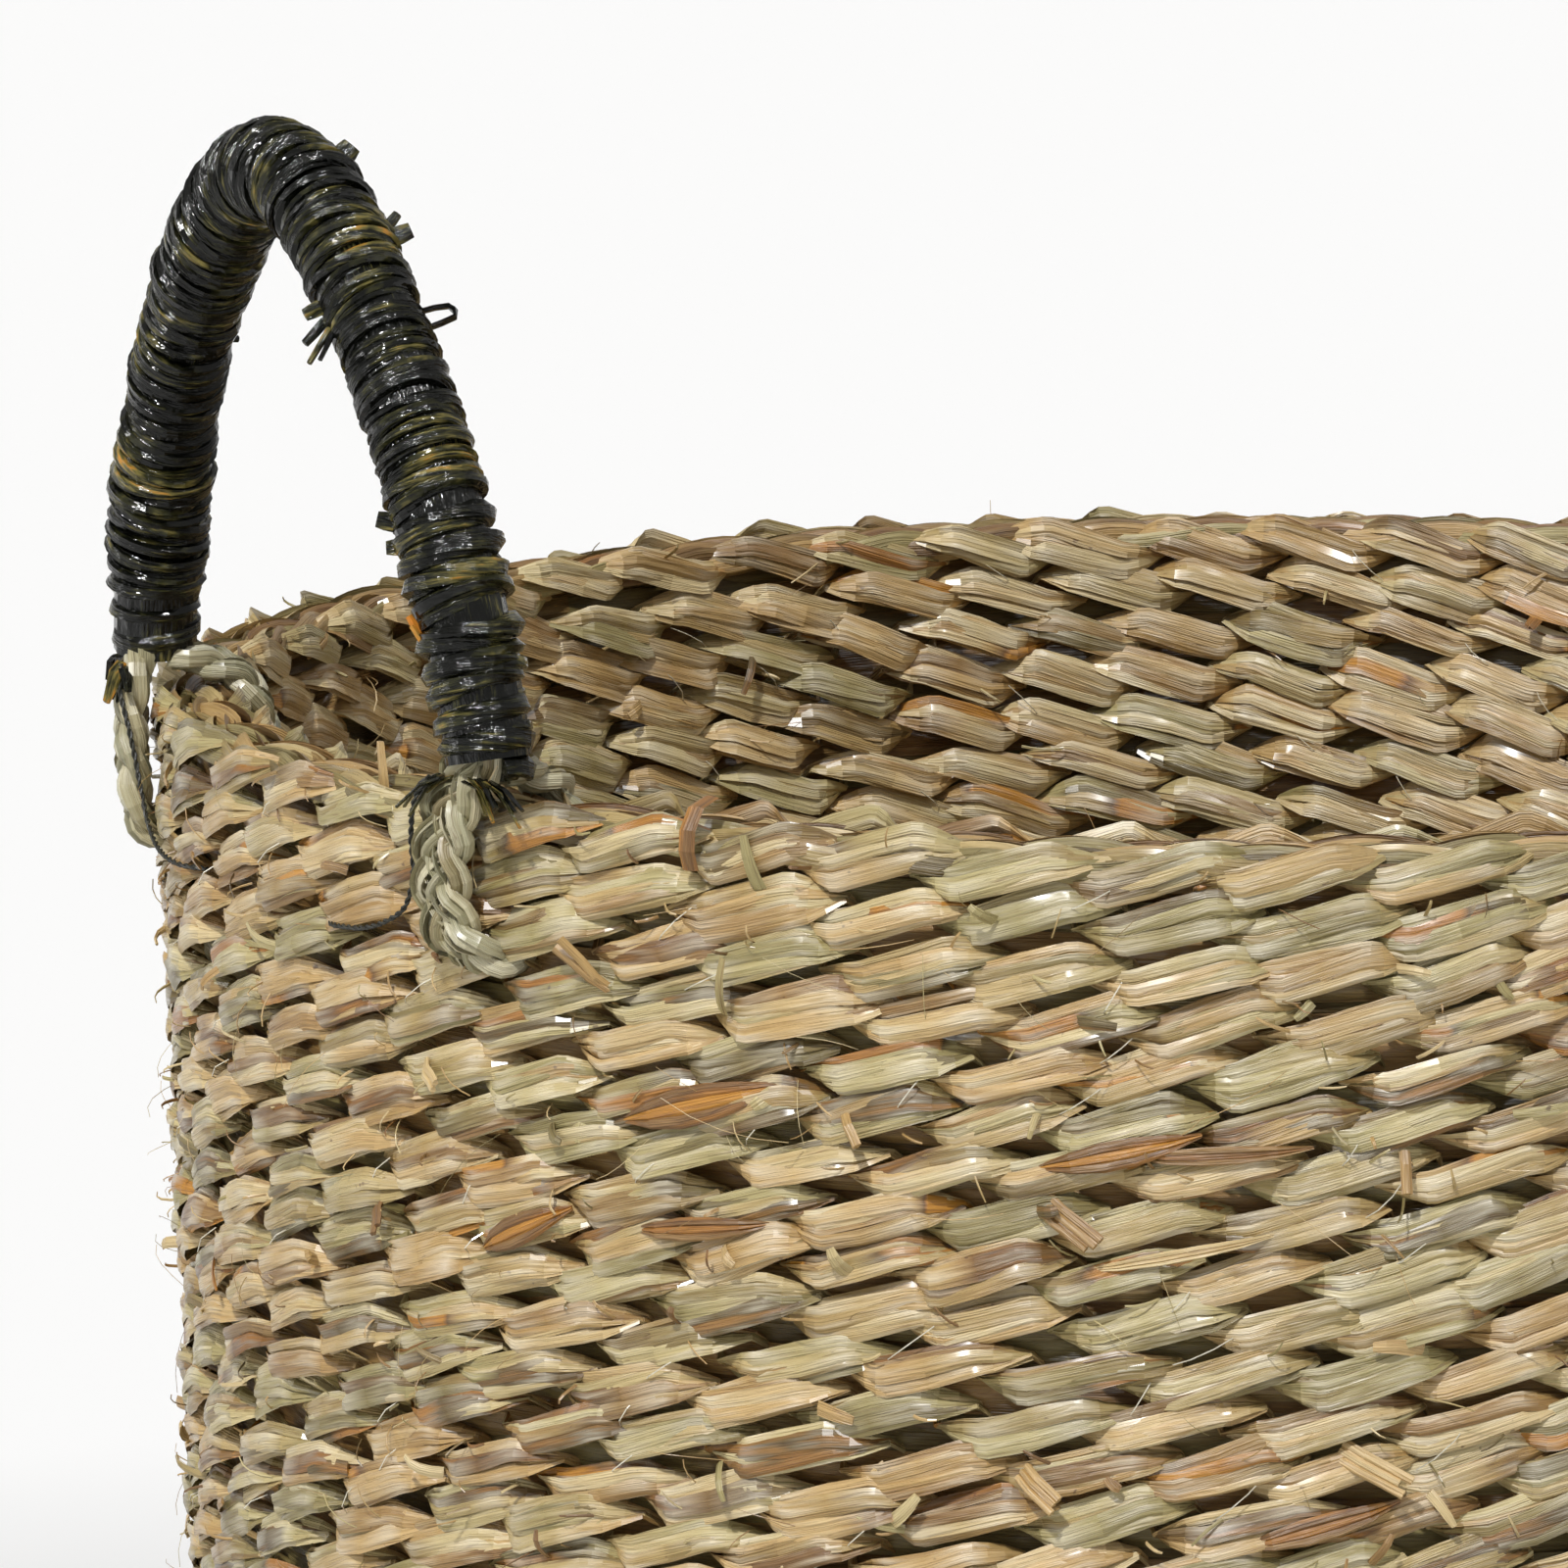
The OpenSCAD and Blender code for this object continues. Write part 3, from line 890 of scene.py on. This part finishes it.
# Loose bits of the wraps: distance along the arch, angle round it in degrees, length, width, how far
# the bit leans along the arch and tone
WRAP_ENDS = [
    (-14, 48, 3.2, 5.0, 0.2, 0.3),
    (-36, 66, 4.4, 4.0, 0.0, 0.3),
    (-34, 60, 3.4, 2.4, 0.6, 0.3),
    (-46, -106, 3.4, 3.2, -0.2, 1.6),
    (-49, -112, 5.4, 2.2, -0.6, 0.3),
    (-52, -104, 6.4, 1.6, -1.0, 1.2),
    (-54, -96, 4.6, 1.4, -1.2, 0.3),
    (-97, -108, 3.0, 4.0, 0.5, 0.3),
    (-102, -114, 2.6, 3.4, 0.2, 0.3),
    (-121, -100, 1.6, 1.8, 2.6, 3.2),
    (-123, -94, 1.8, 1.4, 2.2, 2.6),
    (72, 100, 1.8, 1.8, 0.2, 0.8),
]
# A folded ribbon: distance along the arch and out from the wrap
RIBBON_LOOP = (
    (-58.5, -2.0), (-58.2, 2.5), (-57.8, 5.4), (-56.4, 6.0), (-54.8, 5.2), (-54.2, 2.5), (-54.0, -2.0),
)
RIBBON_LOOP_DEGREES = 72.0
UPRIGHT = (0.0, 0.3, 1.0)


def on_wrap(side, v, degrees, reach):
    """A point that far out from the wrap, its direction out and the arch's direction."""
    centre, outward, sideways = (a[0] for a in arch_frame(side, np.array([float(v)])))
    angle = math.radians(degrees)
    ray = outward * math.cos(angle) - side * sideways * math.sin(angle)
    return centre + ray * (WRAP_RADIUS - 1.2 + reach), ray, np.cross(outward, sideways)


def wrap_ends(side):
    """Cut ends and one folded ribbon that stick out of the wrap."""
    groups = []
    for v, degrees, length, width, lean, tone in WRAP_ENDS:
        root, ray, along = on_wrap(side, v, degrees, 0.0)
        reach = np.array([-2.0, 0.2, 0.5 * length, length])
        points = [root + ray * r + along * lean * max(r, 0) for r in reach]
        groups.append(strip(points, UPRIGHT, [width, width, 0.95 * width, 0.8 * width], 1.3, tone))
    loop = [on_wrap(side, v, RIBBON_LOOP_DEGREES, reach) for v, reach in RIBBON_LOOP]
    beside = np.cross(loop[0][2], loop[0][1])
    groups.append(strip([point for point, _, _ in loop], beside + 0.3 * loop[0][2], 3.4, 1.5, 0.3))
    return groups


def curve_frame(points, out_dir):
    """A frame function along a smooth curve through points, for braid_group, and its length."""
    points = np.asarray(points, float)
    fine = np.linspace(0, len(points) - 1, CURVE_STEPS * (len(points) - 1) + 1)
    segment = np.minimum(fine.astype(int), len(points) - 2)
    t = (fine - segment)[:, None]
    padded = np.concatenate([[2 * points[0] - points[1]], points, [2 * points[-1] - points[-2]]])
    a, b, c, d = (padded[segment + k] for k in range(4))
    line = 0.5 * (2 * b + (c - a) * t + (2 * a - 5 * b + 4 * c - d) * t**2
                  + (3 * b - a - 3 * c + d) * t**3)
    steps = length_steps(line)
    forward = unit(np.gradient(line, axis=0))
    outward = square_to(forward, np.broadcast_to(out_dir, line.shape))
    onward = np.cross(forward, outward)

    def at(u):
        def read(field):
            return stack(*(np.interp(u, steps, field[:, k]) for k in range(3)))
        return read(line), read(outward), read(onward)

    return at, steps[-1]


def wall_point(degrees, aside, out, s):
    """A point on the wall: aside round it from an angle, out from its centre line, s along it."""
    around = math.radians(degrees) + aside / (line_at(s)[0] + out)
    centre, outward, _ = surface_at(around, s)
    return centre + outward * out


def wall_turn(degrees):
    """Outward and round-the-wall directions at an angle."""
    around = math.radians(degrees)
    return (np.array([math.cos(around), math.sin(around), 0]),
            np.array([-math.sin(around), math.cos(around), 0]))


ANCHOR_S = (COURSES - ANCHORED_COURSES) * PLAIT_HEIGHT
# The rope's route at a foot: aside, out from the wall's centre line, up from the joint it goes through
ROPE_ROUTE = [
    (0.0, 9.0, 45), (1.0, 11.6, 37), (4.5, 14.0, 29), (7.0, 14.4, 20), (7.0, 14.2, 10),
    (4.5, 12.8, 2.5), (1.0, 8.0, -1), (0.0, 0.0, 0), (0.0, -8.0, 0), (0.0, -12.6, 4),
    (0.0, -13.6, 13), (0.0, -12.4, 24), (0.0, -8.5, 31.5), (0.0, -2.5, 34.5), (0.0, 4.0, 37),
]
# The tie thread's route, in the same way
TIE_ROUTE = [
    (8.0, 16.0, 36), (12.0, 16.6, 31), (15.0, 15.2, 23), (16.0, 14.0, 15), (19.5, 13.2, 8),
    (26.0, 12.8, 4), (34.0, 12.4, 1.5), (42.0, 11.8, 0.6), (48.0, 10.2, 0), (54.0, 6.5, 0),
]


def foot_degrees(side, end):
    """Where a foot stands round the rim."""
    return end * FOOT_ANGLE if side > 0 else 180 - end * FOOT_ANGLE


def route_points(side, end, route):
    """The points of a route at one foot."""
    degrees = foot_degrees(side, end)
    return [wall_point(degrees, -side * end * aside, out, ANCHOR_S + up) for aside, out, up in route]


def anchor_rope(side, end, seed):
    """The rope at one foot: out of the wrap, down over the rim courses, through the wall and back."""
    _, round_wall = wall_turn(foot_degrees(side, end))
    frame_at, length = curve_frame(route_points(side, end, ROPE_ROUTE), round_wall)
    return braid_group(
        seed=seed, frame_at=frame_at, length=length, period=25.0, half_width=4.5, rise=1.4,
        bundle_w=6.8, bundle_t=2.4, stalks=6, stalk_w=(2.2, 3.8),
    )


TIE_PLIES = 2
TIE_RADIUS = 0.32
TIE_TWIST_LENGTH = 4.5


def tie_twine(side, end):
    """The black twine beside a foot: round plies twisted together along the tie's route."""
    out_dir, _ = wall_turn(foot_degrees(side, end))
    frame_at, length = curve_frame(route_points(side, end, TIE_ROUTE), out_dir)
    u = np.linspace(0, length, int(length / 0.9))
    centre, outward, onward = frame_at(u)
    groups = []
    for k in range(TIE_PLIES):
        twist = (TWO_PI * (u / TIE_TWIST_LENGTH + k / TIE_PLIES))[:, None]
        ray = outward * np.cos(twist) + onward * np.sin(twist)
        line = centre + ray * TIE_RADIUS
        groups.append(strip(line, ray, 2 * TIE_RADIUS, 2 * TIE_RADIUS, 0.4, round_section(6)))
    return groups


def foot_tuft(side, end, seed):
    """Frayed ends of the wrap at a foot."""
    draws = np.random.default_rng(seed)
    degrees = foot_degrees(side, end)
    out_dir, round_wall = wall_turn(degrees)
    away = side * end
    groups = []
    for k in range(16):
        way = away if k < 11 else -away
        start = wall_point(degrees, way * draws.uniform(2, 7), 11 + draws.uniform(1, 6), ANCHOR_S + 36)
        reach = draws.uniform(4, 10)
        drop = draws.uniform(3, 9)
        bend = round_wall * way * reach + np.array([0, 0, -drop]) + out_dir * draws.uniform(-1, 4)
        points = [start, start + bend * 0.45 + np.array([0, 0, 0.22 * drop]), start + bend]
        width = draws.uniform(1.8, 3.4) * np.array([1, 1, 0.5])
        tone = 0.2 if k % 4 else 1.9
        groups.append(strip(points, out_dir + 0.6 * round_wall, width, 0.9, tone))
    return groups


def core_rope(side, seed):
    """The plaited rope of an arch, under its wrap."""
    return braid_group(
        seed=seed, frame_at=lambda u: arch_frame(side, u - arch_half), length=2 * arch_half, period=36.0,
        half_width=3.4, rise=1.9, bundle_w=5.4, bundle_t=4.4, stalks=6, stalk_w=(2.2, 3.4),
    )


def foot_pieces(side_name, side, end_name, end, seed):
    """The anchor rope, tie and tuft at one foot. They stay with the basket when the handle tilts."""
    name = f"{side_name}_{end_name}"
    rope = [anchor_rope(side, end, seed)]
    add_piece(f"{name}_anchor_rope", rope, "basket", "seagrass_rope", f"{name}_anchor")
    tie = tie_twine(side, end)
    add_piece(f"{name}_tie_twine", tie, "basket", "black_thread", f"{name}_tie")
    add_piece(f"{name}_foot_tuft", foot_tuft(side, end, seed + 5), "basket", "black_cord")


def handle_pieces():
    """Both handles: wrap, loose ends and core rope, and what holds their feet."""
    for number, (side_name, side) in enumerate(SIDES):
        body = f"{side_name}_handle"
        wrap = [wrap_cord(side, 40 + number), wrap_lining(side)]
        add_piece(f"{body}_wrap_cord", wrap, body, "black_cord", f"{body}_wrap")
        add_piece(f"{body}_wrap_ends", wrap_ends(side), body, "black_cord")
        core = [core_rope(side, 60 + number)]
        add_piece(f"{body}_core_rope", core, body, "seagrass_rope", f"{body}_core")
        for place, (end_name, end) in enumerate(ENDS):
            foot_pieces(side_name, side, end_name, end, 80 + 10 * number + place)


handle_pieces()


# ---------------- sewing and loose straw
STITCHES_A_JOINT = 11
STITCH_THICK = 0.28
STITCH_SINK = 2.5
STITCH_OUT = PLAIT_WIDTH / 2 - 0.6


def stitch_groups():
    """Short clear stitches across the grooves, inside and out."""
    draws = np.random.default_rng(5)
    lines, across = [], []
    for joint in range(BASE_COURSES + 3, COURSES):
        s = joint * PLAIT_HEIGHT
        for k in range(STITCHES_A_JOINT):
            degrees = (k + draws.uniform(0, 1)) * 360 / STITCHES_A_JOINT
            for face in (1, -1):
                slant = draws.uniform(2, 6)
                tall = draws.uniform(2.5, 4.5)
                lines.append([
                    wall_point(degrees, part * slant, face * (STITCH_OUT - sink), s + part * tall)
                    for part, sink in ((-1, STITCH_SINK), (-0.4, 0), (0.4, 0), (1, STITCH_SINK))
                ])
                across.append([wall_turn(degrees)[0]] * 4)
    thick = np.full((len(lines), 4), STITCH_THICK)
    return [{
        "centre": np.array(lines), "across": np.array(across), "width": thick, "thick": thick,
        "tone": np.full_like(thick, 0.5), "section": round_section(6)[::2],
    }]


def fray_groups(seed, count, length, width, thick, lift):
    """Loose ends that stand out of the wall, outside and inside, each a short bent strip."""
    draws = np.random.default_rng(seed)

    def column(low, high):
        return draws.uniform(low, high, count)[:, None]

    turn = draws.uniform(BASE_COURSES - 2, COURSES, count)
    s = turn * PLAIT_HEIGHT + draws.uniform(-4, 4, count)
    around = draws.uniform(0, TWO_PI, count)
    s = np.minimum(s, coil_top(around) + 3)
    face = np.where(column(0, 1) < 0.75, 1.0, -1.0)
    centre, outward, onward = surface_at(around, s)
    outward = outward * face
    round_wall = stack(-np.sin(around), np.cos(around), 0 * around)
    root = centre + outward * column(7.5, 9.5)
    heading = column(0, TWO_PI)
    run = round_wall * np.cos(heading) + onward * 0.6 * np.sin(heading)
    reach = column(*length)
    rise = column(*lift)
    curl = column(-0.35, 0.35)
    t = np.linspace(0, 1, 5)[:, None, None]
    line = root + run * reach * t + outward * rise * np.sin(t * 1.9) + onward * reach * curl * t**2
    line = np.swapaxes(line, 0, 1)
    across = np.cross(run, outward) + 0.4 * outward * curl
    even = np.ones((count, 5))
    return [{
        "centre": line, "across": np.broadcast_to(across[:, None], line.shape),
        "width": column(*width) * np.array([1, 1, 0.95, 0.85, 0.6]), "thick": thick * even,
        "tone": column(0.1, 1) * even, "warm": column(0.2, 1) * even,
    }]


# Leaves of another colour on the outside of the wall: degrees round and course at the middle, degrees
# that the leaf runs over, rise, width and tone
LEAVES = [
    (215, 51.5, 9, 10, 7.5, 0.0),
    (204, 48.5, 6, 11, 6.0, 0.0),
    (215, 49.0, 8, 4, 4.5, 0.05),
    (237, 51.0, 8, 7, 5.5, 0.0),
    (242, 51.0, 9, 2, 3.5, 0.1),
    (247, 43.5, 8, 9, 5.0, 0.05),
    (240, 49.0, 10, 8, 2.5, 0.8),
]
LEAF_WIDTHS = np.array([0.2, 0.7, 1.0, 0.95, 0.65, 0.15])
LEAF_OUT = np.array([8.5, 11.0, 11.5, 11.5, 11.0, 8.5])
# The folds of a leaf: place across it, share of its width and how much darker or lighter it is
LEAF_FOLDS = ((-0.34, 0.4, 0.16), (0.0, 0.42, 0.03), (0.34, 0.42, 0.12))
# Cut ends of bundles: degrees round and course at the root, degrees and rise from there to the cut,
# width, how far the cut stands off and tone
STUBS = [
    (210, 53.5, -3, 10, 2.0, 2.5, 0.35),
    (210, 53.5, -2, 11, 2.0, 3.5, 0.4),
    (233, 50.0, 3, -8, 5.0, 3.0, 0.35),
    (248, 45.0, 3, -6, 5.0, 3.0, 0.8),
    (232, 44.5, 2, -6, 4.5, 2.5, 0.55),
    (223, 51.5, 1, -5, 2.0, 2.0, 0.5),
    (193, 48.5, 1, -5, 3.0, 2.5, 0.15),
    (251, 51.0, 0, -7, 2.0, 2.0, 0.4),
    (197, 51.5, 2, -3, 3.5, 2.5, 0.8),
]
STUB_STALK = 1.6
# A red-brown band round the last course, and one stalk that stands up from the rim: degrees round,
# and the line as distances out from the wall's centre line and up from the rim
BAND = (215, ((2, 5), (8, 4), (11.5, 0), (12, -4), (10.5, -8)))
RIM_STALK = (193, ((4, -7), (4.5, 0), (5, 8)))


def wall_line(degrees, s, run, rise, outs):
    """Points along the wall from a place, over that many degrees and that rise, and the direction
    across the line in the wall."""
    places = zip(np.linspace(0, 1, len(outs)), outs)
    points = [wall_point(degrees + run * k, 0, out, s + rise * k) for k, out in places]
    outward, _ = wall_turn(degrees + run / 2)
    return np.array(points), unit(np.cross(outward, points[-1] - points[0]))


def rim_line(degrees, places):
    """Points over the rim at an angle."""
    return [wall_point(degrees, 0, out, coil_length + up) for out, up in places]


def wall_details():
    """The leaves, cut ends, band and stalk that single out places on the wall."""
    draws = np.random.default_rng(71)
    groups = []
    for degrees, course, run, rise, width, tone in LEAVES:
        s = course * PLAIT_HEIGHT - rise / 2
        points, across = wall_line(degrees - run / 2, s, run, rise, LEAF_OUT)
        for place, share, lighter in LEAF_FOLDS:
            shift = across * (place * width * LEAF_WIDTHS)[:, None]
            fold = share * width * LEAF_WIDTHS
            groups.append(strip(points + shift, across, fold, 1.2, tone + lighter, warm=0.8))
    for degrees, course, run, rise, width, lift, tone in STUBS:
        count = max(round(width / STUB_STALK), 1)
        outs = PLAIT_WIDTH / 2 + lift * np.array([-1, 0, 0.4, 1])
        for k in range(count):
            points, across = wall_line(degrees, course * PLAIT_HEIGHT, run, rise, outs)
            shift = across * (k - (count - 1) / 2) * width / count
            end = points[0] + (points[-1] - points[0]) * draws.uniform(0.85, 1.1)
            points = np.array([*points[:-1], end]) + shift
            shade = tone + draws.uniform(-0.08, 0.08)
            groups.append(strip(points, across, 1.1 * width / count, 1.5, shade, warm=0.9))
    outward, round_wall = wall_turn(BAND[0])
    groups.append(strip(rim_line(*BAND), round_wall, 3.6, 0.8, 0.1, warm=1.0))
    across = round_wall + 0.3 * outward
    groups.append(strip(rim_line(*RIM_STALK), across, [3.0, 3.0, 2.2], 1.2, 0.6, warm=0.9))
    return groups


add_piece("sewing_stitches", stitch_groups(), "basket", "clear_thread", "sewing_thread")
for loose_name, loose_groups in (
    ("loose_stalk_ends", fray_groups(21, 700, (5, 13), (1.4, 3.4), 0.8, (1.0, 5.0))),
    ("wall_details", wall_details()),
    ("frayed_fibres", fray_groups(22, 2600, (3, 10), (0.25, 0.9), 0.3, (2.0, 5.0))),
    ("stray_hairs", fray_groups(23, 700, (8, 26), (0.12, 0.2), 0.14, (2.5, 7.0))),
):
    add_piece(loose_name, loose_groups, "basket", "seagrass_plait")


# ---------------- stage, light and camera
def build_stage():
    """The floor and the even light of the studio."""
    bpy.ops.mesh.primitive_circle_add(vertices=64, radius=60, fill_type="NGON", location=(0, 0, -0.0005))
    floor = bpy.context.object
    floor.name = "floor"
    floor.data.materials.append(floor_material())
    world = bpy.data.worlds.new("studio")
    bpy.context.scene.world = world
    world.use_nodes = True
    background = world.node_tree.nodes["Background"]
    background.inputs["Color"].default_value = (1.0, 0.99, 0.975, 1)
    background.inputs["Strength"].default_value = 0.42


def direction(azimuth, elevation):
    """The way from the basket to something at that azimuth and elevation, counted as a view's are."""
    a, e = math.radians(azimuth), math.radians(elevation)
    return Vector((math.sin(a) * math.cos(e), -math.cos(a) * math.cos(e), math.sin(e)))


def add_turned(name, data, turn):
    """A light or camera, turned by a quaternion."""
    obj = bpy.data.objects.new(name, data)
    obj.rotation_mode = "QUATERNION"
    obj.rotation_quaternion = turn
    bpy.context.scene.collection.objects.link(obj)
    return obj


def add_sun(name, azimuth, elevation, strength, angle, glints_only=False):
    """A sun that shines from that azimuth and elevation."""
    data = bpy.data.lights.new(name, "SUN")
    data.energy = strength
    data.angle = math.radians(angle)
    lamp = add_turned(name, data, direction(azimuth, elevation).to_track_quat("Z", "Y"))
    lamp.visible_diffuse = not glints_only


CAMERA_AZIMUTH = -25.0
CAMERA_ELEVATION = 8.7
CAMERA_DISTANCE = 2.75
CAMERA_LENS = 301.0
AIM_RIGHT = -0.0965
AIM_UP = -0.025


def build_camera():
    """The photograph's view, aimed beside the middle of the rim's top."""
    back = direction(CAMERA_AZIMUTH, CAMERA_ELEVATION)
    right = direction(CAMERA_AZIMUTH + 90, 0)
    up = back.cross(right)
    data = bpy.data.cameras.new("camera")
    data.sensor_width = 36.0
    data.lens = CAMERA_LENS
    data.clip_end = 200.0
    camera = add_turned("camera", data, (-back).to_track_quat("-Z", "Y"))
    aim = Vector((0, 0, rim_high.z * MM)) + right * AIM_RIGHT + up * AIM_UP
    camera.location = aim + back * CAMERA_DISTANCE
    bpy.context.scene.camera = camera


build_stage()
add_sun("key", -46, 50, 2.15, 3.0)
add_sun("side", -112, 18, 0.5, 12)
add_sun("left_glint", -62, 40, 3.4, 2.0, glints_only=True)
add_sun("right_glint", 8, 56, 2.4, 2.0, glints_only=True)
build_camera()
bpy.context.scene.view_settings.view_transform = "Standard"
